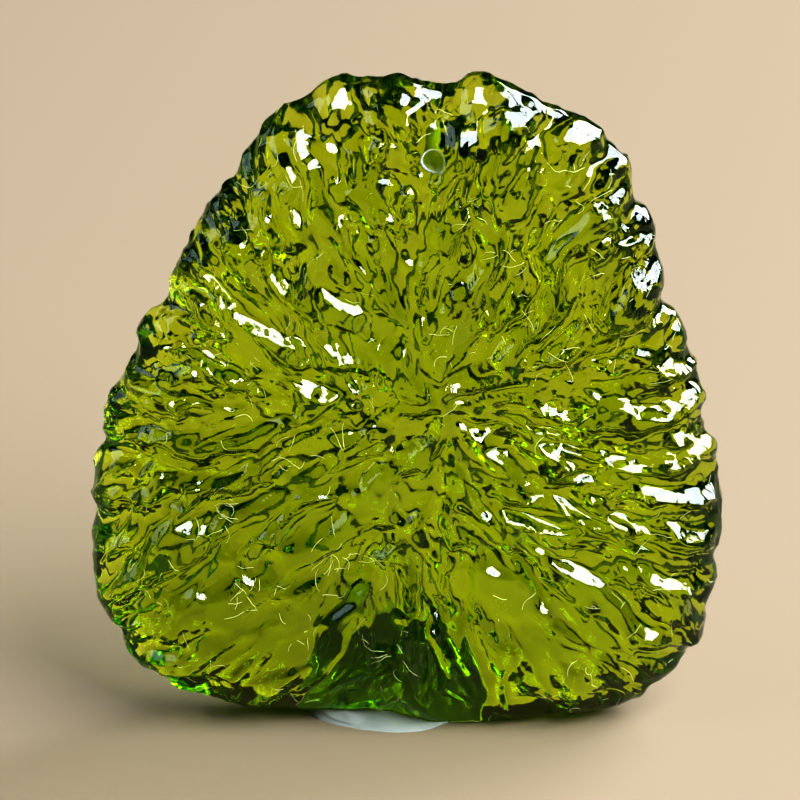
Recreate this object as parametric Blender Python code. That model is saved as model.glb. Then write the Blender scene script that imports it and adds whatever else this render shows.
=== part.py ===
"""A drilled piece of moldavite standing on its edge, propped by a lump of putty.

The stone is one solid of natural glass, a rounded triangle like a guitar pick. Its two faces carry pits
and grooves that run outwards from a centre of flow, and over the rim they run from face to face. A small
hole is drilled through near the top. The lowest part of the rim is a small flat spot.

The frame is in metres with +Z up. The front face looks along -Y, and the ground is z = 0.
"""
import math

import bmesh
import bpy
import numpy as np
from mathutils import Vector, noise

MM = 0.001

# Where the stone's middle plane and the putty stand, so that the object is centred on the origin.
STONE_AT = Vector((0.2 * MM, -2.7 * MM, 0.0))
PUTTY_AT = Vector((-1.3 * MM, 0.45 * MM, 0.0))

# The middle of the stone's outline, above the lowest point of its rim.
MIDDLE_Z = 21.0 * MM

# The rim seen from the front, clockwise from the top left: crests and notches as (x, z) in millimetres.
OUTLINE = (
    (-5.3, 47.7), (-4.1, 48.4), (-2.5, 48.1), (-0.5, 48.2), (1.2, 48.0), (2.7, 47.6), (4.2, 48.3), (6.0, 48.3),
    (7.8, 47.3), (10.4, 46.1), (12.9, 44.4), (14.7, 43.1), (15.2, 40.7), (15.3, 39.6), (16.6, 38.1), (17.1, 35.6),
    (17.4, 32.1), (18.4, 30.7), (19.4, 28.2), (20.3, 25.8), (20.4, 22.5), (21.3, 21.0), (21.9, 18.2), (22.1, 15.8),
    (22.3, 14.3), (21.4, 12.7), (21.7, 10.2), (20.8, 8.4), (20.5, 6.1), (18.7, 3.9), (16.7, 2.0), (14.6, 0.9),
    (10.9, 0.7), (8.5, 0.4), (6.0, 0.1), (3.5, 0.0), (1.0, 0.1), (-1.0, 0.6), (-2.8, 1.0), (-5.0, 1.05),
    (-7.7, 0.95), (-9.9, 0.95), (-12.0, 1.2), (-15.6, 1.9), (-18.5, 3.6), (-19.8, 5.1), (-20.9, 7.4), (-22.0, 9.7),
    (-22.2, 11.7), (-21.9, 12.7), (-22.3, 13.7), (-21.8, 15.7), (-22.3, 17.5), (-21.8, 19.9), (-21.0, 20.9),
    (-21.6, 23.0), (-20.5, 25.1), (-19.2, 27.2), (-18.6, 29.5), (-16.6, 31.7), (-16.2, 34.3), (-14.9, 35.5),
    (-14.7, 37.3), (-13.4, 39.5), (-11.9, 40.8), (-11.2, 42.8), (-10.2, 44.2), (-8.6, 45.8), (-7.0, 46.9),
)
CREST_SMOOTHING = 0.020

# How far the rim reaches past its outline before its hollows are cut.
RIM_ALLOWANCE = 0.60 * MM

# Half thicknesses at the foot of the stone, and how much thinner it is at its top.
FRONT_DEPTH = 5.1 * MM
BACK_DEPTH = 4.3 * MM
TOP_THINNING = 0.14
STONE_HEIGHT = 48.6 * MM

# The section across the rim: each face is domed by a share of its depth, then rounded over towards the edge.
DOME_SHARE = 0.10
RIM_WIDTH = 4.6 * MM
MEAN_RADIUS = 21.5 * MM

# The back lies further left than the front by this share of the depth, so that the left side wall shows.
SKEW = 0.15

# Where the flow starts on each face, as (x, z).
FRONT_FLOW = (1.5 * MM, 24.7 * MM)
BACK_FLOW = (-3.0 * MM, 19.0 * MM)

# Smoother zones of the faces: centre x and z, and reach.
CALM_ZONES = (
    (-9.5 * MM, 7.0 * MM, 5.5 * MM),
    (9.5 * MM, 5.5 * MM, 4.5 * MM),
)
CALM_SHARE = 0.6

# The rim is smoother than the faces by a share of each kind of hollow, from one lean of the form to another.
RIM_START = 0.30
RIM_FULL = 0.75

# The foot is worn smooth: the hollows start this far below the ground and reach their depth over this height.
FOOT_START = 0.2 * MM
FOOT_FADE = 2.6 * MM

# The swells of the faces, and the bend of the grooves.
SWELL_DEPTH = 0.40 * MM
SWELL_SIZE = 7.0 * MM
WARP = 0.7 * MM
WARP_SIZE = 3.2 * MM
FLOW_WANDER = 0.55
WANDER_SIZE = 9.0 * MM

# How unevenly the hollows are spread, the shape of their bowls, and how far round an edge one reaches.
SPREAD_JITTER = 1.6
BOWL_POWER = 1.5
LEAST_FACING = 0.3

# Each kind of hollow: how many, half length, half width, depth (smallest and largest), seed and rim share.
GROOVES = (420, (2.0 * MM, 5.2 * MM), (0.9 * MM, 1.6 * MM), (0.60 * MM, 1.15 * MM), 11, 0.6)
PITS = (1000, (0.9 * MM, 2.8 * MM), (0.45 * MM, 0.85 * MM), (0.28 * MM, 0.56 * MM), 23, 0.7)

# The drilled hole, from front to back.
HOLE_X = 1.65 * MM
HOLE_Z = 43.3 * MM
HOLE_RADIUS = 0.75 * MM
HOLE_SIDES = 20

# The putty: a squashed ball, widest at the ground, most of it behind the stone.
PUTTY_HALF_WIDTH = 6.7 * MM
PUTTY_HALF_DEPTH = 7.05 * MM
PUTTY_HEIGHT = 7.3 * MM
PUTTY_DENT = 0.45 * MM
PUTTY_DENT_SIZE = 4.2 * MM

# The putty's front is squeezed flat between these two distances in front of its middle.
LIP_SHARE = 0.12
LIP_FRONT = 6.2 * MM
LIP_BACK = 2.2 * MM

# The room left between the putty and the stone.
PUTTY_GAP = 0.36 * MM

# How fine the meshes are.
STONE_CELLS = 62
STONE_TRIANGLES = 8300
MOULD_CELLS = 20


def clear_scene():
    """Remove every object of the start-up scene."""
    for item in list(bpy.data.objects):
        bpy.data.objects.remove(item, do_unlink=True)


def outline_radius(angle):
    """Return the rim's distance from its middle at each angle, seen from the front."""
    points = np.array(OUTLINE) * MM
    angles = np.arctan2(points[:, 1] - MIDDLE_Z, points[:, 0])
    radii = np.hypot(points[:, 0], points[:, 1] - MIDDLE_Z) + RIM_ALLOWANCE
    grid = np.linspace(-math.pi, math.pi, 1440, endpoint=False)
    rough = np.interp(grid, *sorted_pairs(angles, radii), period=2 * math.pi)
    step = grid[1] - grid[0]
    reach = int(3 * CREST_SMOOTHING / step)
    offsets = np.arange(-reach, reach + 1)
    weights = np.exp(-0.5 * (offsets * step / CREST_SMOOTHING) ** 2)
    smooth = sum(w * np.roll(rough, o) for w, o in zip(weights, offsets)) / weights.sum()
    return np.interp(angle, grid, smooth, period=2 * math.pi)


def sorted_pairs(angles, radii):
    """Return the outline's angles in rising order, with their radii."""
    order = np.argsort(angles)
    return angles[order], radii[order]


def section_table():
    """Return share of the radius, share of the depth, lean and share of the area, from face centre to rim."""
    turn = np.linspace(0.0, math.pi / 2, 400)
    rim = RIM_WIDTH / MEAN_RADIUS
    out = np.concatenate((np.linspace(0.0, 1 - rim, 400), 1 - rim + rim * np.sin(turn[1:])))
    deep = np.concatenate((np.ones(400), np.cos(turn[1:]))) * (1 - DOME_SHARE * out ** 2)
    run = np.diff(out) * MEAN_RADIUS
    fall = -np.diff(deep) * (FRONT_DEPTH + BACK_DEPTH) / 2
    ring = np.hypot(run, fall) * (out[1:] + out[:-1]) / 2
    area = np.concatenate(([0.0], np.cumsum(ring)))
    lean = np.concatenate(([0.0], np.arctan2(fall, run)))
    return out, deep, lean, area / area[-1]


def surface(directions):
    """Place unit directions on the stone's smooth form, and return points and outward normals."""
    out, deep, lean, area = section_table()
    place = 1 - np.abs(directions[:, 1])
    share = np.interp(place, area, out)
    depth = np.interp(place, area, deep)
    tilt = np.interp(place, area, lean)
    side = np.where(directions[:, 1] < 0, -1.0, 1.0)
    angle = np.arctan2(directions[:, 2], directions[:, 0])
    radius = outline_radius(angle)
    x = radius * share * np.cos(angle)
    z = radius * share * np.sin(angle) + MIDDLE_Z
    half = np.where(side < 0, FRONT_DEPTH, BACK_DEPTH) * (1 - TOP_THINNING * z / STONE_HEIGHT)
    y = side * half * depth
    points = np.stack([x - SKEW * y, y, z], axis=1)
    normals = np.stack([np.sin(tilt) * np.cos(angle), side * np.cos(tilt), np.sin(tilt) * np.sin(angle)], axis=1)
    return points, normals


def noise_at(points, size, shift):
    """Return smooth noise from -1 to 1 at each point, with features of the given size."""
    offset = Vector((shift, 2.7 * shift, -1.3 * shift))
    return np.array([noise.noise(Vector(p) / size + offset) for p in points])


def flow(points, normals):
    """Return the direction in the surface that the grooves follow: outwards, then over the rim."""
    front = points[:, 1] < 0
    centre_x = np.where(front, FRONT_FLOW[0], BACK_FLOW[0])
    centre_z = np.where(front, FRONT_FLOW[1], BACK_FLOW[1])
    away = np.stack([points[:, 0] - centre_x, np.zeros(len(points)), points[:, 2] - centre_z], axis=1)
    away /= np.linalg.norm(away, axis=1, keepdims=True) + 1e-9
    along = np.where(front, 1.0, -1.0)[:, None] * away + np.array([0.0, 1.0, 0.0])
    along -= (along * normals).sum(axis=1, keepdims=True) * normals
    return along / (np.linalg.norm(along, axis=1, keepdims=True) + 1e-9)


def spread_directions(count, rng):
    """Return unit directions spread evenly over the ball, each moved a little."""
    number = np.arange(count) + 0.5
    height = 1 - 2 * number / count
    turn = number * math.pi * (3 - math.sqrt(5))
    level = np.sqrt(1 - height ** 2)
    directions = np.stack([level * np.cos(turn), height, level * np.sin(turn)], axis=1)
    directions += rng.uniform(-1, 1, directions.shape) * SPREAD_JITTER / math.sqrt(count)
    return directions / np.linalg.norm(directions, axis=1, keepdims=True)


def hollows(kind):
    """Return centres, long axes, cross axes, normals and sizes of one kind of hollow."""
    count, lengths, widths, depths, seed, _ = kind
    rng = np.random.default_rng(seed)
    centres, normals = surface(spread_directions(count, rng))
    along = flow(centres, normals)
    wander = FLOW_WANDER * (noise_at(centres, WANDER_SIZE, seed) * 1.5 + rng.uniform(-0.5, 0.5, count))
    across = np.cross(normals, along)
    turned = np.cos(wander)[:, None] * along + np.sin(wander)[:, None] * across
    across = np.cross(normals, turned)
    sizes = [rng.uniform(low, high, count) for low, high in (lengths, widths, depths)]
    return centres, turned, across, normals, sizes


def hollow_depth(points, normals, kind):
    """Return how deep one kind of hollow cuts at each point. Where two meet they leave a sharp crest."""
    cut = np.zeros(len(points))
    centres, along, across, facing, (lengths, widths, depths) = hollows(kind)
    for i in range(len(centres)):
        offset = points - centres[i]
        near = np.flatnonzero(np.abs(offset).max(axis=1) < lengths[i])
        offset = offset[near]
        far = (offset @ along[i] / lengths[i]) ** 2 + (offset @ across[i] / widths[i]) ** 2
        inside = (far < 1) & (normals[near] @ facing[i] > LEAST_FACING)
        picked = near[inside]
        cut[picked] = np.maximum(cut[picked], depths[i] * (1 - far[inside] ** BOWL_POWER))
    return cut


def calm(points, normals, rim_share):
    """Return 1 where the stone is sculpted as usual, and less in its smoother zones and on the rim."""
    share = np.zeros(len(points))
    for x, z, reach in CALM_ZONES:
        share += np.exp(-((points[:, 0] - x) ** 2 + (points[:, 2] - z) ** 2) / reach ** 2)
    rim = np.clip((1 - np.abs(normals[:, 1]) - RIM_START) / (RIM_FULL - RIM_START), 0, 1)
    return (1 - CALM_SHARE * np.clip(share, 0, 1)) * (1 - rim_share * rim)


def sculpted(directions, kinds, proud=0.0):
    """Return the stone's surface with its swells and hollows, moved out by proud."""
    points, normals = surface(directions)
    bent = points.copy()
    for axis in range(3):
        bent[:, axis] += WARP * noise_at(points, WARP_SIZE, 3.1 + axis)
    cut = SWELL_DEPTH * (0.5 + 0.5 * noise_at(points, SWELL_SIZE, 8.3))
    for kind in kinds:
        cut += hollow_depth(bent, normals, kind) * calm(points, normals, kind[-1])
    foot = np.clip((points[:, 2] + FOOT_START) / FOOT_FADE, 0, 1)
    return points + normals * (proud - cut * foot)[:, None]


def ball(cells):
    """Return a bmesh of a ball made of six grids, and its vertices' unit directions."""
    mesh = bmesh.new()
    bmesh.ops.create_cube(mesh, size=2.0)
    bmesh.ops.subdivide_edges(mesh, edges=mesh.edges[:], cuts=cells - 1, use_grid_fill=True)
    cube = np.array([v.co for v in mesh.verts])
    even = np.tan(np.clip(cube, -1, 1) * math.pi / 4)
    return mesh, even / np.linalg.norm(even, axis=1, keepdims=True)


def stone_mesh(name, cells, kinds, proud=0.0):
    """Make a mesh of the stone."""
    mesh, directions = ball(cells)
    for vert, place in zip(mesh.verts, sculpted(directions, kinds, proud)):
        vert.co = place
    data = bpy.data.meshes.new(name)
    mesh.to_mesh(data)
    mesh.free()
    return data


def add_object(name, data, material=None, location=(0.0, 0.0, 0.0)):
    """Link a mesh into the scene as a named object."""
    item = bpy.data.objects.new(name, data)
    item.location = location
    if material:
        data.materials.append(material)
    bpy.context.collection.objects.link(item)
    return item


def make_material(name, colour, roughness, transmission=0.0, ior=1.5):
    """Make a Principled material."""
    material = bpy.data.materials.new(name)
    material.use_nodes = True
    shader = material.node_tree.nodes["Principled BSDF"]
    shader.inputs["Base Color"].default_value = (*colour, 1.0)
    shader.inputs["Roughness"].default_value = roughness
    shader.inputs["Transmission Weight"].default_value = transmission
    shader.inputs["IOR"].default_value = ior
    return material


def make_guide(name, mesh, location):
    """Add a cutter, which isn't part of the object."""
    data = bpy.data.meshes.new(name)
    mesh.to_mesh(data)
    mesh.free()
    guide = add_object(name, data, location=location)
    guide.hide_render = True
    guide.display_type = "WIRE"
    return guide


def cut_away(item, guide):
    """Cut one object by a guide."""
    cut = item.modifiers.new(guide.name, "BOOLEAN")
    cut.operation = "DIFFERENCE"
    cut.solver = "EXACT"
    cut.object = guide


def thin_out(item, triangles, now):
    """Bring a mesh down to about the given number of triangles."""
    fewer = item.modifiers.new("fewer", "DECIMATE")
    fewer.decimate_type = "COLLAPSE"
    fewer.ratio = triangles / now


def make_ground():
    """Make the cutter that leaves flat spots on the ground."""
    mesh = bmesh.new()
    bmesh.ops.create_cube(mesh, size=1.0)
    for vert in mesh.verts:
        vert.co = Vector((vert.co.x * 60 * MM, vert.co.y * 60 * MM, (vert.co.z - 0.5) * 10 * MM))
    return make_guide("guide_ground", mesh, (0.0, 0.0, 0.0))


def make_drill():
    """Make the cutter for the drilled hole, along Y."""
    mesh = bmesh.new()
    bmesh.ops.create_cone(
        mesh, cap_ends=True, segments=HOLE_SIDES, radius1=HOLE_RADIUS, radius2=HOLE_RADIUS, depth=20 * MM
    )
    for vert in mesh.verts:
        vert.co = Vector((vert.co.x, -vert.co.z, vert.co.y))
    return make_guide("guide_drill", mesh, STONE_AT + Vector((HOLE_X, 0.0, HOLE_Z)))


def make_stone(ground):
    """Make the stone, flat where it stands, with its drilled hole."""
    glass = make_material("moldavite_glass", (0.21, 0.26, 0.01), 0.05, transmission=1.0, ior=1.49)
    data = stone_mesh("moldavite", STONE_CELLS, (GROOVES, PITS))
    stone = add_object("moldavite", data, glass, STONE_AT)
    thin_out(stone, STONE_TRIANGLES, 12 * STONE_CELLS ** 2)
    cut_away(stone, ground)
    cut_away(stone, make_drill())
    return stone


def putty_place(direction):
    """Place one unit direction on the putty's surface."""
    outward = Vector((direction.x * PUTTY_HALF_WIDTH, direction.y * PUTTY_HALF_DEPTH, direction.z * PUTTY_HEIGHT))
    dent = PUTTY_DENT * noise.noise(outward / PUTTY_DENT_SIZE + Vector((1.7, 0.4, 5.2)))
    place = outward + direction * dent
    back = min(max((place.y + LIP_FRONT) / (LIP_FRONT - LIP_BACK), 0.0), 1.0)
    place.z *= LIP_SHARE + (1 - LIP_SHARE) * back * back * (3 - 2 * back)
    return place


def make_putty(ground):
    """Make the putty: a squashed ball moulded to the stone's lower edge and flat on the ground."""
    matte = make_material("white_putty", (0.78, 0.78, 0.74), 0.75)
    mesh = bmesh.new()
    bmesh.ops.create_icosphere(mesh, subdivisions=4, radius=1.0)
    for vert in mesh.verts:
        vert.co = putty_place(vert.co.normalized())
    data = bpy.data.meshes.new("putty_foot")
    mesh.to_mesh(data)
    mesh.free()
    putty = add_object("putty_foot", data, matte, PUTTY_AT)
    cut_away(putty, ground)
    mould = add_object("guide_mould", stone_mesh("guide_mould", MOULD_CELLS, (GROOVES,), PUTTY_GAP))
    mould.location = STONE_AT
    mould.hide_render = True
    mould.display_type = "WIRE"
    cut_away(putty, mould)
    return putty


def main():
    """Build the object."""
    clear_scene()
    ground = make_ground()
    make_stone(ground)
    make_putty(ground)


main()
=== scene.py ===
"""A drilled moldavite standing on its edge, propped upright by a lump of white putty.

The stone is sculpted in full here, with every pit and groove of its glass, and replaces the coarser solid of
the frame. The hole near its top has a pale chipped lip and a matt ground wall. The putty gets the dents and
the rubbed folds of the fingers that pressed it on. Fine lint lies on the stone.
All sizes are in metres, in the frame's own axes: +Z up, with the stone's front face looking along -Y.
"""
import logging
import math
from dataclasses import dataclass, field
from enum import Enum

import bmesh
import bpy
import numpy as np
from mathutils import Matrix, Vector, noise
from mathutils.bvhtree import BVHTree


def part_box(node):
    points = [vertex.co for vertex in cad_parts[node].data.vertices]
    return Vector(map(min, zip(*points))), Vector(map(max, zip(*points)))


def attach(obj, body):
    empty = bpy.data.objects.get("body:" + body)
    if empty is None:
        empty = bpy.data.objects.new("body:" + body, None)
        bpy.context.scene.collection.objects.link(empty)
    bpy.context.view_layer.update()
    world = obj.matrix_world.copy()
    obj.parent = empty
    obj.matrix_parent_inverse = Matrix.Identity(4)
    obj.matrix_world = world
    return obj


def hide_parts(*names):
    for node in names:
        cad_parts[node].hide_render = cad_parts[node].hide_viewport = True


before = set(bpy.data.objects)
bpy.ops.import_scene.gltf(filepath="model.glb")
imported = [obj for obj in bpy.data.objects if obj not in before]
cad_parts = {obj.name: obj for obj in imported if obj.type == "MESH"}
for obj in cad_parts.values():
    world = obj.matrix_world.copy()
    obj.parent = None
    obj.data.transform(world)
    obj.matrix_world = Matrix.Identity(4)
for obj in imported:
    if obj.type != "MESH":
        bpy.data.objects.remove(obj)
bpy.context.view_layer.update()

MM = 0.001
# A ray cast at the stone starts this far from the XZ plane, well outside the glass.
OUTSIDE = 30 * MM
# The golden angle in half turns, which spreads points evenly over a ball.
GOLDEN_TURN = 3 - math.sqrt(5)
# A pattern's number moves the noise by this much along each axis.
PATTERN_STEP = (1.0, 2.7, -1.3)
# Blender's wave texture turns by this many radians a unit of length.
WAVE_RADIANS = 20
# Keeps a division by a length of nought finite.
TINY = 1e-9
CLEAR = "ffffff"

log = logging.getLogger("moldavite")


def linear(hex_colour: str) -> tuple[float, float, float, float]:
    """Turn an sRGB hex colour into the linear values that a shader takes.

    Args:
        hex_colour: Six hex digits, such as "d8ccb4".

    Returns:
        Red, green, blue and alpha, from 0 to 1.
    """
    shares = [int(hex_colour[i:i + 2], 16) / 255 for i in (0, 2, 4)]
    bright = [s / 12.92 if s <= 0.04045 else ((s + 0.055) / 1.055) ** 2.4 for s in shares]
    return (*bright, 1.0)


def add_node(tree: bpy.types.NodeTree, kind: str, settings: dict | None = None,
             links: dict | None = None) -> bpy.types.Node:
    """Add a node, with its settings and what runs into it.

    Args:
        tree: The material's node tree.
        kind: The node's type name.
        settings: Property names, socket names or socket numbers, with their values.
        links: Socket names, with the output socket that runs into each.

    Returns:
        The new node.
    """
    node = tree.nodes.new(kind)
    for name, value in (settings or {}).items():
        if isinstance(name, int) or name in node.inputs:
            node.inputs[name].default_value = value
        else:
            setattr(node, name, value)
    for name, source in (links or {}).items():
        tree.links.new(source, node.inputs[name])
    return node


def start_material(name: str) -> tuple[bpy.types.Material, bpy.types.NodeTree, bpy.types.Node]:
    """Start a material with nothing but its output.

    Args:
        name: The finish's name.

    Returns:
        The material, its node tree and its output node.
    """
    material = bpy.data.materials.new(name)
    material.use_nodes = True
    tree = material.node_tree
    tree.nodes.clear()
    return material, tree, add_node(tree, "ShaderNodeOutputMaterial")


@dataclass(frozen=True)
class MoldaviteGlass:
    """Natural silica glass, fire polished and then etched in the ground: clear olive green and wet looking,
    with a faint bloom where the etching left the skin matt, and matt where it was drilled."""

    name: str
    # Where the drilled bore is seen from the front, X and Z, and its radius.
    bore: tuple[float, float, float]
    roughness: tuple[float, float] = (0.0, 0.05)
    ground_roughness: float = 0.50
    ground_reach: float = 1.15
    ior: float = 1.49
    absorbed_colour: str = "eef520"
    absorption: float = 670.0
    # Real etch pits are a few hundredths of a millimetre wide, too fine to show, so they are drawn coarser.
    etch_grain: float = 0.22 * MM
    etch_depth: float = 0.006 * MM
    ground_depth: float = 0.04 * MM
    bloom_size: float = 5.0 * MM
    bloom_edge: tuple[float, float] = (0.42, 0.72)

    def make(self) -> bpy.types.Material:
        """Make the glass: what it lets through and absorbs, its etched skin and its ground bore.

        Returns:
            The material.
        """
        material, tree, output = start_material(self.name)
        place = add_node(tree, "ShaderNodeTexCoord").outputs["Object"]
        bloom = add_node(tree, "ShaderNodeTexNoise", {"Scale": 1 / self.bloom_size, "Detail": 4.0},
                         {"Vector": place})
        gloss = add_node(tree, "ShaderNodeMapRange", {
            "From Min": self.bloom_edge[0], "From Max": self.bloom_edge[1],
            "To Min": self.roughness[0], "To Max": self.roughness[1],
        }, {"Value": bloom.outputs["Fac"]})
        flat = add_node(tree, "ShaderNodeVectorMath", {"operation": "MULTIPLY", 1: (1.0, 0.0, 1.0)},
                        {"Vector": place})
        off = add_node(tree, "ShaderNodeVectorMath", {
            "operation": "DISTANCE", 1: (self.bore[0], 0.0, self.bore[1]),
        }, {"Vector": flat.outputs["Vector"]})
        ground = add_node(tree, "ShaderNodeMath", {
            "operation": "LESS_THAN", 1: self.ground_reach * self.bore[2],
        }, {"Value": off.outputs["Value"]})
        matt = add_node(tree, "ShaderNodeMix", {"B": self.ground_roughness},
                        {"Factor": ground.outputs["Value"], "A": gloss.outputs["Result"]})
        etch = add_node(tree, "ShaderNodeTexNoise", {"Scale": 1 / self.etch_grain, "Detail": 3.0},
                        {"Vector": place})
        deep = add_node(tree, "ShaderNodeMix", {"A": self.etch_depth, "B": self.ground_depth},
                        {"Factor": ground.outputs["Value"]})
        skin = add_node(tree, "ShaderNodeBump", {"Strength": 1.0},
                        {"Height": etch.outputs["Fac"], "Distance": deep.outputs["Result"]})
        shader = add_node(tree, "ShaderNodeBsdfPrincipled", {
            "Base Color": linear(CLEAR), "IOR": self.ior, "Transmission Weight": 1.0,
        }, {"Roughness": matt.outputs["Result"], "Normal": skin.outputs["Normal"]})
        inside = add_node(tree, "ShaderNodeVolumeAbsorption", {
            "Color": linear(self.absorbed_colour), "Density": self.absorption,
        })
        tree.links.new(shader.outputs["BSDF"], output.inputs["Surface"])
        tree.links.new(inside.outputs["Volume"], output.inputs["Volume"])
        return material


@dataclass(frozen=True)
class KneadedPutty:
    """White reusable putty, kneaded by hand: matt, with rubbed folds. Both of its greys are painted shade,
    far darker than white putty, standing in for the shade that the stone casts on it; the mottling between
    them is the faint greying of handling.
    """

    name: str = "kneaded_putty"
    # Painted shade: white putty greyed down to how it looks in the stone's shade, mottled between a cleaner
    # and a more handled grey.
    shaded_clean: str = "888c83"
    shaded_handled: str = "72766d"
    mottling: float = 2.5 * MM
    # Folds about 2.8 mm apart.
    fold_spacing: float = 0.9 * math.pi * MM
    fold_depth: float = 0.06 * MM
    fold_strength: float = 0.6
    fold_bend: float = 6.0
    roughness: float = 0.72
    softness: float = 0.15
    soft_reach: tuple[float, float, float] = (1 * MM, 1 * MM, 0.8 * MM)

    def make(self) -> bpy.types.Material:
        """Make the putty, with its mottling and the folds that rubbing fingers leave.

        Returns:
            The material.
        """
        material, tree, output = start_material(self.name)
        place = add_node(tree, "ShaderNodeTexCoord").outputs["Object"]
        mottle = add_node(tree, "ShaderNodeTexNoise", {"Scale": 1 / self.mottling, "Detail": 5.0},
                          {"Vector": place})
        colour = add_node(tree, "ShaderNodeMix", {
            "data_type": "RGBA", "A": linear(self.shaded_clean), "B": linear(self.shaded_handled),
        }, {"Factor": mottle.outputs["Fac"]})
        folds = add_node(tree, "ShaderNodeTexWave", {
            "Scale": 2 * math.pi / (WAVE_RADIANS * self.fold_spacing), "Distortion": self.fold_bend,
            "Detail": 2.0, "wave_type": "RINGS",
        }, {"Vector": place})
        skin = add_node(tree, "ShaderNodeBump", {
            "Strength": self.fold_strength, "Distance": self.fold_depth,
        }, {"Height": folds.outputs["Fac"]})
        shader = add_node(tree, "ShaderNodeBsdfPrincipled", {
            "Roughness": self.roughness, "Subsurface Weight": self.softness,
            "Subsurface Radius": self.soft_reach,
        }, {"Base Color": colour.outputs["Result"], "Normal": skin.outputs["Normal"]})
        tree.links.new(shader.outputs["BSDF"], output.inputs["Surface"])
        return material


@dataclass(frozen=True)
class CottonLint:
    """Loose cotton fibres shed by a cloth: thin, pale and matt, bleached paler in some stretches."""

    name: str
    colour: str
    bleached: str = "f4f3d8"
    stretch: float = 0.8 * MM
    roughness: float = 0.6

    def make(self) -> bpy.types.Material:
        """Make the fibre, paler in some stretches than in others.

        Returns:
            The material.
        """
        material, tree, output = start_material(self.name)
        place = add_node(tree, "ShaderNodeTexCoord").outputs["Object"]
        stretches = add_node(tree, "ShaderNodeTexNoise", {"Scale": 1 / self.stretch}, {"Vector": place})
        colour = add_node(tree, "ShaderNodeMix", {
            "data_type": "RGBA", "A": linear(self.colour), "B": linear(self.bleached),
        }, {"Factor": stretches.outputs["Fac"]})
        shader = add_node(tree, "ShaderNodeBsdfPrincipled", {"Roughness": self.roughness},
                          {"Base Color": colour.outputs["Result"]})
        tree.links.new(shader.outputs["BSDF"], output.inputs["Surface"])
        return material


@dataclass(frozen=True)
class CrushedGlass:
    """Glass that the drill crushed to a matt, grainy crust: pale grains over the green of the stone."""

    name: str
    # A grain is pale where the noise lies below this.
    pale_below: float
    clear: float = 0.0
    pale: str = "a9b3ae"
    green: str = "6f7c48"
    # Real grains are a few hundredths of a millimetre wide, too fine to show, so they are drawn coarser.
    grain: float = 0.12 * MM
    grain_edge: float = 0.05
    roughness: float = 0.8
    # Lower than glass, because a crust full of cracks mirrors little.
    ior: float = 1.2

    def make(self) -> bpy.types.Material:
        """Make the crust, with sharp edges between its pale grains and the green.

        Returns:
            The material.
        """
        material, tree, output = start_material(self.name)
        place = add_node(tree, "ShaderNodeTexCoord").outputs["Object"]
        grains = add_node(tree, "ShaderNodeTexNoise", {"Scale": 1 / self.grain, "Detail": 3.0},
                          {"Vector": place})
        edges = add_node(tree, "ShaderNodeMapRange", {
            "From Min": self.pale_below - self.grain_edge, "From Max": self.pale_below + self.grain_edge,
        }, {"Value": grains.outputs["Fac"]})
        colour = add_node(tree, "ShaderNodeMix", {
            "data_type": "RGBA", "A": linear(self.pale), "B": linear(self.green),
        }, {"Factor": edges.outputs["Result"]})
        shader = add_node(tree, "ShaderNodeBsdfPrincipled", {
            "Roughness": self.roughness, "IOR": self.ior, "Transmission Weight": self.clear,
        }, {"Base Color": colour.outputs["Result"]})
        tree.links.new(shader.outputs["BSDF"], output.inputs["Surface"])
        return material


@dataclass(frozen=True)
class PalePaper:
    """Smooth studio paper, one plain pale colour."""

    name: str = "studio_paper"
    colour: str = "726551"
    roughness: float = 0.9

    def make(self) -> bpy.types.Material:
        """Make the paper.

        Returns:
            The material.
        """
        material, tree, output = start_material(self.name)
        shader = add_node(tree, "ShaderNodeBsdfPrincipled", {
            "Base Color": linear(self.colour), "Roughness": self.roughness,
        })
        tree.links.new(shader.outputs["BSDF"], output.inputs["Surface"])
        return material


class Face(Enum):
    """The stone's two faces, by the sign of Y that they look along."""

    FRONT = -1
    BACK = 1


class Pattern(Enum):
    """The patterns of noise that bend and deepen the stone's surface."""

    WARP = 3.1
    FRAY = 6.4
    SWELL = 8.3
    PATCHES = 5.9


def noise_at(points: np.ndarray, size: float, pattern: float) -> np.ndarray:
    """Return smooth noise from -1 to 1 at each point.

    Args:
        points: The points, one a row.
        size: The size of the noise's features.
        pattern: A number that picks one pattern of noise.

    Returns:
        One value a point.
    """
    offset = Vector([step * pattern for step in PATTERN_STEP])
    return np.array([noise.noise(Vector(p) / size + offset) for p in points])


def share_near(points: np.ndarray, zone: tuple[float, float, float]) -> np.ndarray:
    """Return how near each point is to the middle of a round zone: 1 there, fading to 0.

    Args:
        points: The points, one a row.
        zone: The zone seen from the front: its middle's X and Z, and its reach.

    Returns:
        One share a point.
    """
    x, z, reach = zone
    return np.exp(-((points[:, 0] - x) ** 2 + (points[:, 2] - z) ** 2) / reach ** 2)


def add_object(name: str, data: bpy.types.ID) -> bpy.types.Object:
    """Add an object to the scene.

    Args:
        name: Its name.
        data: Its mesh, curve, light or camera.

    Returns:
        The object.
    """
    item = bpy.data.objects.new(name, data)
    bpy.context.collection.objects.link(item)
    return item


def to_mesh(shape: bmesh.types.BMesh, name: str) -> bpy.types.Mesh:
    """Turn a bmesh into a mesh, and free it.

    Args:
        shape: The bmesh.
        name: The mesh's name.

    Returns:
        The mesh.
    """
    data = bpy.data.meshes.new(name)
    shape.to_mesh(data)
    shape.free()
    return data


def dress(item: bpy.types.Object, material: bpy.types.Material, sharp_from: float) -> None:
    """Give an object its material, and shade it smooth but for its sharp edges.

    Args:
        item: The object.
        material: Its material.
        sharp_from: The angle between two faces from which their edge is sharp.
    """
    item.data.materials.append(material)
    item.data.shade_smooth()
    item.data.set_sharp_from_angle(angle=sharp_from)


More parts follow.
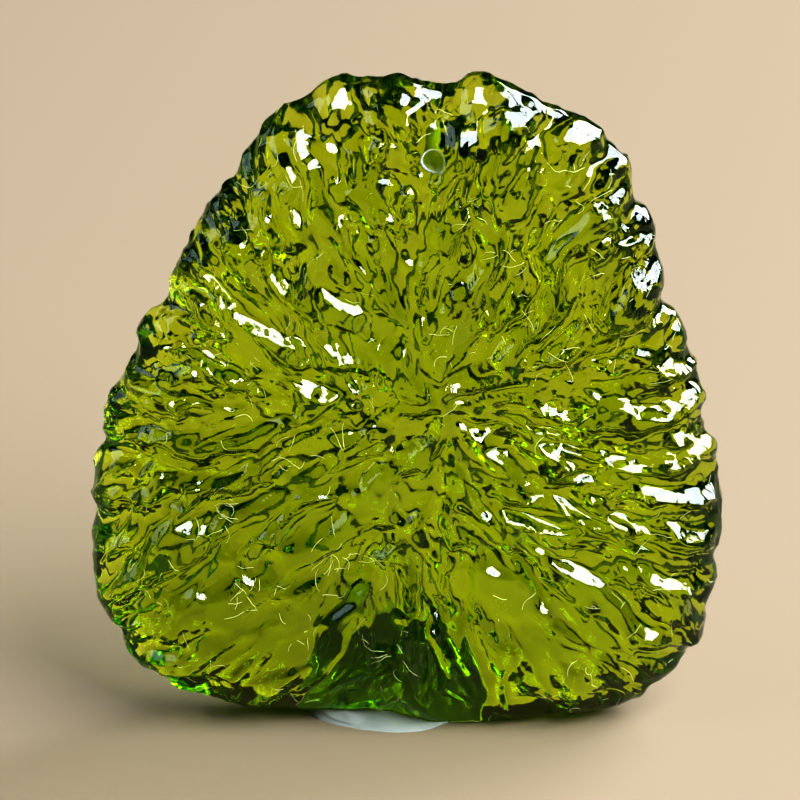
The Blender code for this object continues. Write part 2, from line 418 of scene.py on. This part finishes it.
def cut_by(item: bpy.types.Object, cutter: bpy.types.Object) -> None:
    """Cut an object by another, keep the result as its mesh, and remove the cutter.

    Args:
        item: The object to cut.
        cutter: The object whose inside is taken away.
    """
    cut = item.modifiers.new("cut", "BOOLEAN")
    cut.operation = "DIFFERENCE"
    cut.solver = "MANIFOLD"
    cut.object = cutter
    graph = bpy.context.evaluated_depsgraph_get()
    result = bpy.data.meshes.new_from_object(item.evaluated_get(graph))
    item.modifiers.clear()
    result.materials.clear()
    old = item.data
    item.data = result
    bpy.data.meshes.remove(old)
    bpy.data.objects.remove(cutter, do_unlink=True)


def curve_piece(curve: bpy.types.Curve, name: str, material: bpy.types.Material) -> bpy.types.Object:
    """Turn a curve with a round section into a mesh piece that rides on the stone.

    Args:
        curve: The curve.
        name: The piece's name.
        material: The piece's material.

    Returns:
        The piece.
    """
    holder = add_object(name + "_curve", curve)
    graph = bpy.context.evaluated_depsgraph_get()
    data = bpy.data.meshes.new_from_object(holder.evaluated_get(graph))
    bpy.data.objects.remove(holder, do_unlink=True)
    data.materials.clear()
    data.materials.append(material)
    piece = add_object(name, data)
    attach(piece, "root")
    return piece


def surface_of(item: bpy.types.Object) -> BVHTree:
    """Return the surface of an object, ready for rays.

    Args:
        item: The object.

    Returns:
        The tree of its faces.
    """
    mesh = bmesh.new()
    mesh.from_mesh(item.data)
    tree = BVHTree.FromBMesh(mesh)
    mesh.free()
    return tree


def touch(surface: BVHTree, side: Face, x: float, z: float) -> tuple[Vector | None, Vector | None]:
    """Find where a line along Y first meets the stone, from the side that one face looks along.

    Args:
        surface: The stone's surface.
        side: The face.
        x: The line's place across.
        z: The line's place up.

    Returns:
        The point and the surface's outward normal there, or None for both where the line misses the stone.
    """
    place, normal, _, _ = surface.ray_cast(Vector((x, side.value * OUTSIDE, z)), Vector((0, -side.value, 0)))
    return place, normal


@dataclass
class Hollows:
    """One kind of hollow in the stone: an oval bowl that lies along the flow of the glass."""

    count: int
    lengths: tuple[float, float]
    widths: tuple[float, float]
    depths: tuple[float, float]
    seed: int
    rim_share: float
    patchiness: float = 0.0
    front_share: float = 1.0
    wander: float = 0.55
    wander_size: float = 9.0 * MM
    wander_swing: float = 1.5
    jitter: float = 1.6
    bowl_power: float = 1.5
    least_facing: float = 0.3

    def directions(self, rng: np.random.Generator) -> np.ndarray:
        """Spread unit directions evenly over the ball, each moved a little.

        Args:
            rng: The random numbers of this kind of hollow.

        Returns:
            One direction a row.
        """
        number = np.arange(self.count) + 0.5
        height = 1 - 2 * number / self.count
        turn = number * math.pi * GOLDEN_TURN
        level = np.sqrt(1 - height ** 2)
        spread = np.stack([level * np.cos(turn), height, level * np.sin(turn)], axis=1)
        spread += rng.uniform(-1, 1, spread.shape) * self.jitter / math.sqrt(self.count)
        return spread / np.linalg.norm(spread, axis=1, keepdims=True)

    def depth(self, points: np.ndarray, normals: np.ndarray, form: "StoneForm") -> np.ndarray:
        """Return how deep this kind of hollow cuts at each point. Where two meet they leave a sharp crest.

        Args:
            points: Points on the stone's smooth form.
            normals: The form's outward normals there.
            form: The stone's smooth form.

        Returns:
            One depth a point.
        """
        rng = np.random.default_rng(self.seed)
        centres, facing = form.surface(self.directions(rng))
        along = form.flow(centres, facing)
        swing = noise_at(centres, self.wander_size, self.seed) * self.wander_swing
        turned = self.wander * (swing + rng.uniform(-0.5, 0.5, self.count))
        across = np.cross(facing, along)
        along = np.cos(turned)[:, None] * along + np.sin(turned)[:, None] * across
        across = np.cross(facing, along)
        spans = (self.lengths, self.widths, self.depths)
        lengths, widths, depths = (rng.uniform(*span, self.count) for span in spans)
        cut = np.zeros(len(points))
        order = np.argsort(points[:, 0])
        rows = points[order, 0]
        for i in range(self.count):
            first, last = np.searchsorted(rows, (centres[i, 0] - lengths[i], centres[i, 0] + lengths[i]))
            near = order[first:last]
            near = near[np.abs(points[near, 2] - centres[i, 2]) < lengths[i]]
            offset = points[near] - centres[i]
            far = (offset @ along[i] / lengths[i]) ** 2 + (offset @ across[i] / widths[i]) ** 2
            inside = (far < 1) & (normals[near] @ facing[i] > self.least_facing)
            picked = near[inside]
            cut[picked] = np.maximum(cut[picked], depths[i] * (1 - far[inside] ** self.bowl_power))
        return cut


@dataclass
class StoneForm:
    """The stone's smooth form, before pits and grooves: an outline, and a section across the rim."""

    at: tuple[float, float] = (0.2 * MM, -2.7 * MM)
    middle_z: float = 21.0 * MM
    # How far a crest of the outline is rounded off, as an angle from the middle, in radians.
    crest_smoothing: float = 0.020
    # The hollows cut the rim back, so it starts this much further out.
    rim_allowance: float = 0.60 * MM
    front_depth: float = 5.1 * MM
    back_depth: float = 4.3 * MM
    top_thinning: float = 0.14
    height: float = 48.6 * MM
    dome_share: float = 0.10
    rim_width: float = 4.6 * MM
    skew: float = 0.15
    mean_radius: float = 21.5 * MM
    # The middles that the glass flowed out from, X and Z, on each face.
    front_flow: tuple[float, float] = (1.5 * MM, 24.7 * MM)
    back_flow: tuple[float, float] = (-3.0 * MM, 19.0 * MM)
    outline_steps: int = 1440
    section_steps: int = 400
    # Points of the outline seen from the front, X and Z in millimetres, clockwise from the top left.
    outline: tuple[tuple[float, float], ...] = (
        (-5.3, 47.7), (-4.1, 48.4), (-2.5, 48.1), (-0.5, 48.2), (1.2, 48.0), (2.7, 47.6), (4.2, 48.3),
        (6.0, 48.3), (7.8, 47.3), (10.4, 46.1), (12.9, 44.4), (14.7, 43.1), (15.2, 40.7), (15.3, 39.6),
        (16.6, 38.1), (17.1, 35.6), (17.4, 32.1), (18.4, 30.7), (19.4, 28.2), (20.3, 25.8), (20.4, 22.5),
        (21.3, 21.0), (21.9, 18.2), (22.1, 15.8), (22.3, 14.3), (21.4, 12.7), (21.7, 10.2), (20.8, 8.4),
        (20.5, 6.1), (18.7, 3.9), (16.7, 2.0), (14.6, 0.9), (10.9, 0.7), (8.5, 0.4), (6.0, 0.1), (3.5, 0.0),
        (1.0, 0.1), (-1.0, 0.6), (-2.8, 1.0), (-5.0, 1.05), (-7.7, 0.95), (-9.9, 0.95), (-12.0, 1.2),
        (-15.6, 1.9), (-18.5, 3.6), (-19.8, 5.1), (-20.9, 7.4), (-22.0, 9.7), (-22.2, 11.7), (-21.9, 12.7),
        (-22.3, 13.7), (-21.8, 15.7), (-22.3, 17.5), (-21.8, 19.9), (-21.0, 20.9), (-21.6, 23.0),
        (-20.5, 25.1), (-19.2, 27.2), (-18.6, 29.5), (-16.6, 31.7), (-16.2, 34.3), (-14.9, 35.5),
        (-14.7, 37.3), (-13.4, 39.5), (-11.9, 40.8), (-11.2, 42.8), (-10.2, 44.2), (-8.6, 45.8), (-7.0, 46.9),
    )

    def radius(self, angle: np.ndarray) -> np.ndarray:
        """Return the rim's distance from its middle, seen from the front.

        Args:
            angle: Angles from +X towards +Z, in radians.

        Returns:
            One distance an angle.
        """
        points = np.array(self.outline) * MM
        angles = np.arctan2(points[:, 1] - self.middle_z, points[:, 0])
        order = np.argsort(angles)
        radii = np.hypot(points[:, 0], points[:, 1] - self.middle_z) + self.rim_allowance
        grid = np.linspace(-math.pi, math.pi, self.outline_steps, endpoint=False)
        rough = np.interp(grid, angles[order], radii[order], period=2 * math.pi)
        step = grid[1] - grid[0]
        # A bell curve is next to nothing past three times its width.
        reach = int(3 * self.crest_smoothing / step)
        offsets = np.arange(-reach, reach + 1)
        weights = np.exp(-0.5 * (offsets * step / self.crest_smoothing) ** 2)
        smooth = sum(w * np.roll(rough, o) for w, o in zip(weights, offsets)) / weights.sum()
        return np.interp(angle, grid, smooth, period=2 * math.pi)

    def section(self) -> tuple[np.ndarray, np.ndarray, np.ndarray, np.ndarray]:
        """Work out how a face runs from its middle to the rim.

        Returns:
            The share of the radius, the share of the depth, the lean, and the share of the area so far.
        """
        turn = np.linspace(0.0, math.pi / 2, self.section_steps)[1:]
        rim = self.rim_width / self.mean_radius
        out = np.concatenate((np.linspace(0.0, 1 - rim, self.section_steps), 1 - rim + rim * np.sin(turn)))
        deep = np.concatenate((np.ones(self.section_steps), np.cos(turn))) * (1 - self.dome_share * out ** 2)
        run = np.diff(out) * self.mean_radius
        fall = -np.diff(deep) * (self.front_depth + self.back_depth) / 2
        area = np.concatenate(([0.0], np.cumsum(np.hypot(run, fall) * (out[1:] + out[:-1]) / 2)))
        lean = np.concatenate(([0.0], np.arctan2(fall, run)))
        return out, deep, lean, area / area[-1]

    def surface(self, directions: np.ndarray) -> tuple[np.ndarray, np.ndarray]:
        """Place unit directions on the form, so that even directions give even areas.

        Args:
            directions: One unit direction a row.

        Returns:
            The points on the form, and its outward normals there.
        """
        out, deep, lean, area = self.section()
        place = 1 - np.abs(directions[:, 1])
        share = np.interp(place, area, out)
        depth = np.interp(place, area, deep)
        tilt = np.interp(place, area, lean)
        side = np.where(directions[:, 1] < 0, Face.FRONT.value, Face.BACK.value)
        angle = np.arctan2(directions[:, 2], directions[:, 0])
        radius = self.radius(angle)
        x = radius * share * np.cos(angle)
        z = radius * share * np.sin(angle) + self.middle_z
        half = np.where(side < 0, self.front_depth, self.back_depth)
        half = half * (1 - self.top_thinning * z / self.height)
        y = side * half * depth
        points = np.stack([x - self.skew * y, y, z], axis=1)
        level = np.sin(tilt)
        normals = np.stack([level * np.cos(angle), side * np.cos(tilt), level * np.sin(angle)], axis=1)
        return points, normals

    def flow(self, points: np.ndarray, normals: np.ndarray) -> np.ndarray:
        """Return the way that the glass flowed: out from the middle of a face, then over the rim.

        Args:
            points: Points on the form.
            normals: The form's outward normals there.

        Returns:
            One unit direction in the surface a point.
        """
        front = points[:, 1] < 0
        centre_x = np.where(front, self.front_flow[0], self.back_flow[0])
        centre_z = np.where(front, self.front_flow[1], self.back_flow[1])
        away = np.stack([points[:, 0] - centre_x, np.zeros(len(points)), points[:, 2] - centre_z], axis=1)
        away /= np.linalg.norm(away, axis=1, keepdims=True) + TINY
        along = np.where(front, 1.0, -1.0)[:, None] * away + np.array([0.0, 1.0, 0.0])
        along -= (along * normals).sum(axis=1, keepdims=True) * normals
        return along / (np.linalg.norm(along, axis=1, keepdims=True) + TINY)


@dataclass
class Moldavite:
    """The stone: one solid of green glass, sculpted all over, drilled through near its top."""

    form: StoneForm = field(default_factory=StoneForm)
    cells: int = 126
    hole: tuple[float, float] = (1.65 * MM, 43.3 * MM)
    hole_radius: float = 0.75 * MM
    hole_sides: int = 40
    drill_length: float = 20 * MM
    swell_depth: float = 0.40 * MM
    swell_size: float = 7.0 * MM
    warp: float = 0.7 * MM
    warp_size: float = 3.2 * MM
    fray: float = 0.14 * MM
    fray_size: float = 0.8 * MM
    # Round zones with shallower hollows, seen from the front: the middle's X and Z, and the reach.
    calm_zones: tuple[tuple[float, float, float], ...] = (
        (-9.5 * MM, 7.0 * MM, 5.5 * MM),
        (9.5 * MM, 5.5 * MM, 4.5 * MM),
    )
    calm_share: float = 0.6
    # Where the putty lies, the smaller hollows of both faces are shallower still.
    smooth_zone: tuple[float, float, float] = (-0.8 * MM, 4.6 * MM, 6.5 * MM)
    smooth_share: float = 0.75
    # The hollows flatten out over the rim, between these two leans of the surface.
    rim_start: float = 0.30
    rim_full: float = 0.75
    # The smaller hollows come in patches, deeper near the top.
    patch_size: float = 4.5 * MM
    patch_level: float = 0.35
    patch_least: float = 0.1
    busier_top: float = 0.8
    # Near the surface that the stone stands on, the hollows fade out.
    foot_start: float = 0.2 * MM
    foot_fade: float = 2.6 * MM
    sharp_from: float = math.radians(60)
    # Deep grooves, pits, and fine nicks that leave the crests ragged.
    hollows: tuple[Hollows, ...] = (
        Hollows(420, (2.0 * MM, 5.2 * MM), (0.9 * MM, 1.6 * MM), (0.60 * MM, 1.15 * MM), seed=11,
                rim_share=0.6),
        Hollows(1000, (0.9 * MM, 2.8 * MM), (0.45 * MM, 0.85 * MM), (0.28 * MM, 0.56 * MM), seed=23,
                rim_share=0.7, patchiness=1.2, wander=0.85),
        Hollows(3600, (0.5 * MM, 1.8 * MM), (0.20 * MM, 0.42 * MM), (0.07 * MM, 0.20 * MM), seed=37,
                rim_share=0.9, patchiness=1.4, front_share=0.42),
    )

    def strength(self, kind: Hollows, points: np.ndarray, normals: np.ndarray) -> np.ndarray:
        """Return the share of its full depth that one kind of hollow has at each point.

        Args:
            kind: The kind of hollow.
            points: Points on the smooth form.
            normals: The form's outward normals there.

        Returns:
            One share a point.
        """
        calm = np.clip(sum(share_near(points, zone) for zone in self.calm_zones), 0, 1)
        rim = np.clip((1 - np.abs(normals[:, 1]) - self.rim_start) / (self.rim_full - self.rim_start), 0, 1)
        strength = (1 - self.calm_share * calm) * (1 - kind.rim_share * rim)
        shown = np.where(points[:, 1] < 0, kind.front_share, 1.0)
        if kind.patchiness:
            patches = noise_at(points, self.patch_size, Pattern.PATCHES.value)
            patches += self.busier_top * (points[:, 2] / self.form.height - 0.5)
            strength *= np.clip(1 + kind.patchiness * (patches - self.patch_level), self.patch_least, 1)
            shown *= 1 - self.smooth_share * share_near(points, self.smooth_zone)
        return strength * shown

    def sculpted(self, directions: np.ndarray, proud: float = 0.0) -> np.ndarray:
        """Return the stone's surface, with its swells, grooves, pits and nicks.

        Args:
            directions: One unit direction a row.
            proud: How far outside the surface the points lie.

        Returns:
            One point a row.
        """
        points, normals = self.form.surface(directions)
        bent = points.copy()
        for axis in range(3):
            bent[:, axis] += self.warp * noise_at(points, self.warp_size, Pattern.WARP.value + axis)
            bent[:, axis] += self.fray * noise_at(points, self.fray_size, Pattern.FRAY.value + axis)
        cut = self.swell_depth * (0.5 + 0.5 * noise_at(points, self.swell_size, Pattern.SWELL.value))
        for kind in self.hollows:
            cut += kind.depth(bent, normals, self.form) * self.strength(kind, points, normals)
        foot = np.clip((points[:, 2] + self.foot_start) / self.foot_fade, 0, 1)
        placed = points + normals * (proud - cut * foot)[:, None]
        return placed + np.array([*self.form.at, 0.0])

    def mesh(self, name: str, cells: int, proud: float = 0.0) -> bpy.types.Mesh:
        """Make a closed mesh of the sculpted stone from a ball of six grids.

        Args:
            name: The mesh's name.
            cells: How many cells each grid has along a side.
            proud: How far outside the surface the mesh lies.

        Returns:
            The mesh.
        """
        ball = bmesh.new()
        bmesh.ops.create_cube(ball, size=2.0)
        bmesh.ops.subdivide_edges(ball, edges=ball.edges[:], cuts=cells - 1, use_grid_fill=True)
        even = np.tan(np.clip(np.array([v.co for v in ball.verts]), -1, 1) * math.pi / 4)
        places = self.sculpted(even / np.linalg.norm(even, axis=1, keepdims=True), proud)
        for vert, place in zip(ball.verts, places):
            vert.co = place
            vert.co.z = max(vert.co.z, 0.0)
        return to_mesh(ball, name)

    def bore(self) -> tuple[float, float]:
        """Return where the axis of the drilled hole crosses the frame's XZ plane."""
        return self.form.at[0] + self.hole[0], self.hole[1]

    def drill(self) -> bpy.types.Object:
        """Make the cutter for the drilled hole, along Y.

        Returns:
            The cutter.
        """
        cutter = bmesh.new()
        bmesh.ops.create_cone(cutter, cap_ends=True, segments=self.hole_sides, radius1=self.hole_radius,
                              radius2=self.hole_radius, depth=self.drill_length)
        centre_x, centre_z = self.bore()
        centre = Vector((centre_x, self.form.at[1], centre_z))
        turn = Matrix.Translation(centre) @ Matrix.Rotation(math.pi / 2, 4, "X")
        bmesh.ops.transform(cutter, matrix=turn, verts=cutter.verts)
        return add_object("drill", to_mesh(cutter, "drill"))

    def build(self) -> bpy.types.Object:
        """Build the stone, drill it and dress it.

        Returns:
            The stone.
        """
        stone = add_object("moldavite_stone", self.mesh("moldavite_stone", self.cells))
        cut_by(stone, self.drill())
        glass = MoldaviteGlass("etched_moldavite_glass", (*self.bore(), self.hole_radius))
        dress(stone, glass.make(), self.sharp_from)
        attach(stone, "root")
        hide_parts("moldavite")
        return stone


@dataclass
class PuttyFoot:
    """The lump of putty under and behind the stone's lower edge, moulded to the stone."""

    stone: Moldavite
    at: tuple[float, float] = (-1.3 * MM, 0.45 * MM)
    half_width: float = 6.7 * MM
    half_depth: float = 7.05 * MM
    height: float = 7.3 * MM
    fineness: int = 6
    dent: float = 0.45 * MM
    dent_size: float = 4.2 * MM
    dent_pattern: tuple[float, float, float] = (1.7, 0.4, 5.2)
    crease: float = 0.30 * MM
    crease_size: float = 2.3 * MM
    crease_pattern: tuple[float, float, float] = (3.1, 8.4, 0.6)
    lip_share: float = 0.12
    lip_front: float = 6.2 * MM
    lip_back: float = 2.2 * MM
    gap: float = 0.06 * MM
    mould_cells: int = 40
    sharp_from: float = math.radians(50)
    finish: KneadedPutty = KneadedPutty()

    def place(self, direction: Vector) -> Vector:
        """Place a unit direction on the putty, dented and creased. In front the lump flattens to a low lip.

        Args:
            direction: A unit direction from the lump's middle.

        Returns:
            The place.
        """
        reach = (self.half_width, self.half_depth, self.height)
        outward = Vector([share * full for share, full in zip(direction, reach)])
        dent = self.dent * noise.noise(outward / self.dent_size + Vector(self.dent_pattern))
        crease = self.crease * noise.noise(outward / self.crease_size + Vector(self.crease_pattern))
        place = outward + direction * (dent - abs(crease))
        back = min(max((place.y + self.lip_front) / (self.lip_front - self.lip_back), 0.0), 1.0)
        eased = back * back * (3 - 2 * back)
        place.z *= self.lip_share + (1 - self.lip_share) * eased
        return place

    def build(self) -> bpy.types.Object:
        """Build the putty, mould it to the stone and dress it.

        Returns:
            The putty.
        """
        lump = bmesh.new()
        bmesh.ops.create_icosphere(lump, subdivisions=self.fineness, radius=1.0)
        for vert in lump.verts:
            vert.co = self.place(vert.co.normalized()) + Vector((*self.at, 0.0))
        whole = lump.verts[:] + lump.edges[:] + lump.faces[:]
        bmesh.ops.bisect_plane(lump, geom=whole, plane_co=(0, 0, 0), plane_no=(0, 0, 1), clear_inner=True)
        bmesh.ops.holes_fill(lump, edges=[e for e in lump.edges if e.is_boundary])
        putty = add_object("putty_lump", to_mesh(lump, "putty_lump"))
        cut_by(putty, add_object("mould", self.stone.mesh("mould", self.mould_cells, self.gap)))
        dress(putty, self.finish.make(), self.sharp_from)
        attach(putty, "root")
        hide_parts("putty_foot")
        return putty


@dataclass
class Lint:
    """Loose fibres that lie on the stone, each a short curly thread."""

    stone: bpy.types.Object
    name: str
    finish: CottonLint
    count: int
    seed: int
    lengths: tuple[float, float] = (0.3 * MM, 2.0 * MM)
    # Drawn a little thicker than a cotton fibre of about 0.015 mm, so that it shows.
    thickness: float = 0.024 * MM
    points: int = 10
    bend: float = 0.09
    curl: float = 0.12
    least_facing: float = 0.4
    front_share: float = 0.6
    bunched: float = 0.55
    bunch_size: float = 0.9 * MM

    def thread(self, surface: BVHTree, rng: np.random.Generator, side: Face, x: float,
               z: float) -> list[Vector]:
        """Lay one fibre on a face of the stone.

        Args:
            surface: The stone's surface.
            rng: The random numbers of this lint.
            side: The face that the fibre lies on.
            x: Where it starts, across.
            z: Where it starts, up.

        Returns:
            The points along the fibre, or an empty list where it runs off the stone.
        """
        heading = rng.uniform(0, 2 * math.pi)
        bend = rng.normal(0, self.bend)
        step = rng.uniform(*self.lengths) / self.points
        places = []
        for _ in range(self.points):
            place, normal = touch(surface, side, x, z)
            if place is None or abs(normal.y) < self.least_facing:
                return []
            places.append(place + normal * self.thickness)
            heading += bend + rng.normal(0, self.curl)
            x += step * math.cos(heading)
            z += step * math.sin(heading)
        return places

    def build(self) -> bpy.types.Object:
        """Build the fibres as one mesh of thin tubes and dress it.

        Returns:
            The lint.
        """
        surface = surface_of(self.stone)
        rng = np.random.default_rng(self.seed)
        curve = bpy.data.curves.new(self.name, "CURVE")
        curve.dimensions = "3D"
        curve.bevel_depth = self.thickness / 2
        curve.bevel_resolution = 1
        curve.use_fill_caps = True
        low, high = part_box("moldavite")
        side, x, z = Face.FRONT, 0.0, 0.0
        while len(curve.splines) < self.count:
            if curve.splines and rng.uniform() < self.bunched:
                x += rng.normal(0, self.bunch_size)
                z += rng.normal(0, self.bunch_size)
            else:
                side = Face.FRONT if rng.uniform() < self.front_share else Face.BACK
                x = rng.uniform(low[0], high[0])
                z = rng.uniform(low[2], high[2])
            places = self.thread(surface, rng, side, x, z)
            if not places:
                continue
            spline = curve.splines.new("POLY")
            spline.points.add(len(places) - 1)
            for point, place in zip(spline.points, places):
                point.co = (*place, 1.0)
        return curve_piece(curve, self.name, self.finish.make())


@dataclass
class ChippedLip:
    """The thin crust of crushed glass that the drill left round the hole, widest at its lower left."""

    stone: bpy.types.Object
    centre: tuple[float, float]
    hole_radius: float
    clear: float = 0.05 * MM
    widest: float = 0.14 * MM
    thinnest_share: float = 0.12
    widest_at: float = math.radians(215)
    points: int = 90
    chip_mean: float = 0.75
    chip_swing: float = 0.5
    chip_detail: float = 3.0
    chip_pattern: float = 7.1
    finish: CrushedGlass = CrushedGlass("crushed_glass_lip", pale_below=0.60)

    def build(self) -> bpy.types.Object:
        """Build the crust as a closed tube laid on the front face and dress it.

        Returns:
            The crust.
        """
        surface = surface_of(self.stone)
        curve = bpy.data.curves.new("chipped_lip", "CURVE")
        curve.dimensions = "3D"
        curve.bevel_depth = self.widest
        curve.bevel_resolution = 2
        spline = curve.splines.new("POLY")
        spline.points.add(self.points - 1)
        spline.use_cyclic_u = True
        reach = self.hole_radius + self.clear
        for i, point in enumerate(spline.points):
            angle = 2 * math.pi * i / self.points
            x = self.centre[0] + reach * math.cos(angle)
            z = self.centre[1] + reach * math.sin(angle)
            place, _ = touch(surface, Face.FRONT, x, z)
            turn = (self.chip_detail * math.cos(angle), self.chip_detail * math.sin(angle), self.chip_pattern)
            chip = self.chip_mean + self.chip_swing * noise.noise(Vector(turn))
            share = (0.5 + 0.5 * math.cos(angle - self.widest_at)) ** 2
            point.radius = chip * (self.thinnest_share + (1 - self.thinnest_share) * share)
            point.co = (*place, 1.0)
        return curve_piece(curve, "chipped_lip", self.finish.make())


@dataclass
class GroundWall:
    """The matt skin of crushed glass on the wall of the hole, from the front face to the back."""

    stone: bpy.types.Object
    centre: tuple[float, float]
    hole_radius: float
    sunk: float = 0.02 * MM
    proud: float = 0.03 * MM
    inset: float = 0.03 * MM
    sides: int = 48
    sharp_from: float = math.radians(40)
    finish: CrushedGlass = CrushedGlass(
        "crushed_glass_wall", pale_below=0.42, clear=0.86, pale=CLEAR, green="d6df9a",
    )

    def build(self) -> bpy.types.Object:
        """Build the skin as a closed tube and dress it.

        Returns:
            The skin.
        """
        surface = surface_of(self.stone)
        tube = bmesh.new()
        loops = []
        outer, inner = self.hole_radius + self.sunk, self.hole_radius - self.proud
        corners = ((outer, Face.FRONT), (outer, Face.BACK), (inner, Face.BACK), (inner, Face.FRONT))
        for radius, face in corners:
            ring = bmesh.ops.create_circle(tube, segments=self.sides, radius=radius)["verts"]
            # The face is read just outside the hole's edge, where there is still glass to meet.
            past = 1 + 2 * self.sunk / radius + self.proud / radius
            for vert in ring:
                x, z = self.centre[0] + vert.co.x, self.centre[1] + vert.co.y
                past_x, past_z = self.centre[0] + past * vert.co.x, self.centre[1] + past * vert.co.y
                end, _ = touch(surface, face, past_x, past_z)
                vert.co = Vector((x, end.y - face.value * self.inset, z))
            loops.append([e for e in tube.edges if e.verts[0] in ring and e.verts[1] in ring])
        for i, loop in enumerate(loops):
            bmesh.ops.bridge_loops(tube, edges=loop + loops[i - 1])
        bmesh.ops.recalc_face_normals(tube, faces=tube.faces)
        wall = add_object("ground_wall", to_mesh(tube, "ground_wall"))
        dress(wall, self.finish.make(), self.sharp_from)
        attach(wall, "root")
        return wall


@dataclass(frozen=True)
class Softbox:
    """A soft light that faces the stone. One behind it can be kept from glaring through the glass."""

    name: str
    towards: tuple[float, float, float]
    size: tuple[float, float]
    brightness: float
    colour: str
    seen_through: bool = True
    distance: float = 0.9

    def build(self, target: Vector) -> None:
        """Hang the light.

        Args:
            target: The point that it faces.
        """
        light = bpy.data.lights.new(self.name, "AREA")
        light.shape = "RECTANGLE"
        light.size, light.size_y = self.size
        light.energy = self.brightness * math.pi * self.size[0] * self.size[1]
        light.color = linear(self.colour)[:3]
        lamp = add_object(self.name, light)
        away = Vector(self.towards).normalized()
        lamp.location = target + away * self.distance
        lamp.rotation_euler = away.to_track_quat("Z", "Y").to_euler()
        lamp.visible_transmission = self.seen_through


@dataclass
class Studio:
    """The plain pale floor, the soft lights and the camera."""

    stone_at: tuple[float, float]
    aim_x: float = -0.6 * MM
    aim_z: float = 24.15 * MM
    elevation: float = math.radians(24)
    distance: float = 0.445
    lens: float = 286.0
    nearest: float = 0.01
    floor_size: float = 1.60
    paper: PalePaper = PalePaper()
    world_colour: str = "d9dee6"
    world_strength: float = 0.04
    lights: tuple[Softbox, ...] = (
        Softbox("key_front", (0.60, -0.34, 0.73), (0.90, 0.62), 14.8, "eef4ff"),
        Softbox("key_side", (0.69, 0.49, 0.53), (0.62, 0.62), 12.2, "eef4ff", seen_through=False),
        Softbox("fill_left", (-0.85, -0.25, 0.45), (0.50, 0.50), 2.8, "cfe0f5"),
        Softbox("fill_back", (-0.90, 0.30, 0.26), (0.50, 0.30), 1.6, "c6d4e6", seen_through=False),
    )

    def lay_floor(self) -> None:
        """Lay the paper that the stone stands on."""
        sheet = bmesh.new()
        bmesh.ops.create_grid(sheet, x_segments=1, y_segments=1, size=self.floor_size / 2)
        data = to_mesh(sheet, "floor")
        data.materials.append(self.paper.make())
        floor = add_object("floor", data)

    def light_up(self, target: Vector) -> None:
        """Hang the lights, in a dim even room.

        Args:
            target: The point that the lights face.
        """
        for light in self.lights:
            light.build(target)
        world = bpy.data.worlds.new("soft_room")
        world.use_nodes = True
        background = world.node_tree.nodes["Background"]
        background.inputs["Color"].default_value = linear(self.world_colour)
        background.inputs["Strength"].default_value = self.world_strength
        bpy.context.scene.world = world

    def place_camera(self, target: Vector) -> None:
        """Place the camera in front of the stone, looking down at it.

        Args:
            target: The point that it looks at.
        """
        camera = add_object("camera", bpy.data.cameras.new("camera"))
        camera.data.lens = self.lens
        camera.data.clip_start = self.nearest
        back = Vector((0.0, -math.cos(self.elevation), math.sin(self.elevation)))
        camera.location = target + back * self.distance
        camera.rotation_euler = (-back).to_track_quat("-Z", "Y").to_euler()
        bpy.context.scene.camera = camera

    def build(self) -> None:
        """Lay the floor, hang the lights and place the camera, with a view of strong contrast."""
        target = Vector((self.stone_at[0] + self.aim_x, self.stone_at[1], self.aim_z))
        self.lay_floor()
        self.light_up(target)
        self.place_camera(target)
        view = bpy.context.scene.view_settings
        view.view_transform = "Standard"
        view.look = "Very High Contrast"


def main() -> None:
    """Build the stone, its putty, its lint, the crushed glass of its hole, and the studio around them."""
    logging.basicConfig(level=logging.INFO, format="%(name)s: %(message)s")
    moldavite = Moldavite()
    stone = moldavite.build()
    bore, radius = moldavite.bore(), moldavite.hole_radius
    pieces = (
        stone,
        PuttyFoot(moldavite).build(),
        Lint(stone, "pale_lint", CottonLint("pale_cotton_lint", "cdd07c"), count=420, seed=5).build(),
        ChippedLip(stone, bore, radius).build(),
        GroundWall(stone, bore, radius).build(),
    )
    for piece in pieces:
        log.info("%s: %d faces", piece.name, len(piece.data.polygons))
    Studio(moldavite.form.at).build()
    log.info("studio built")


if __name__ == "__main__":
    main()
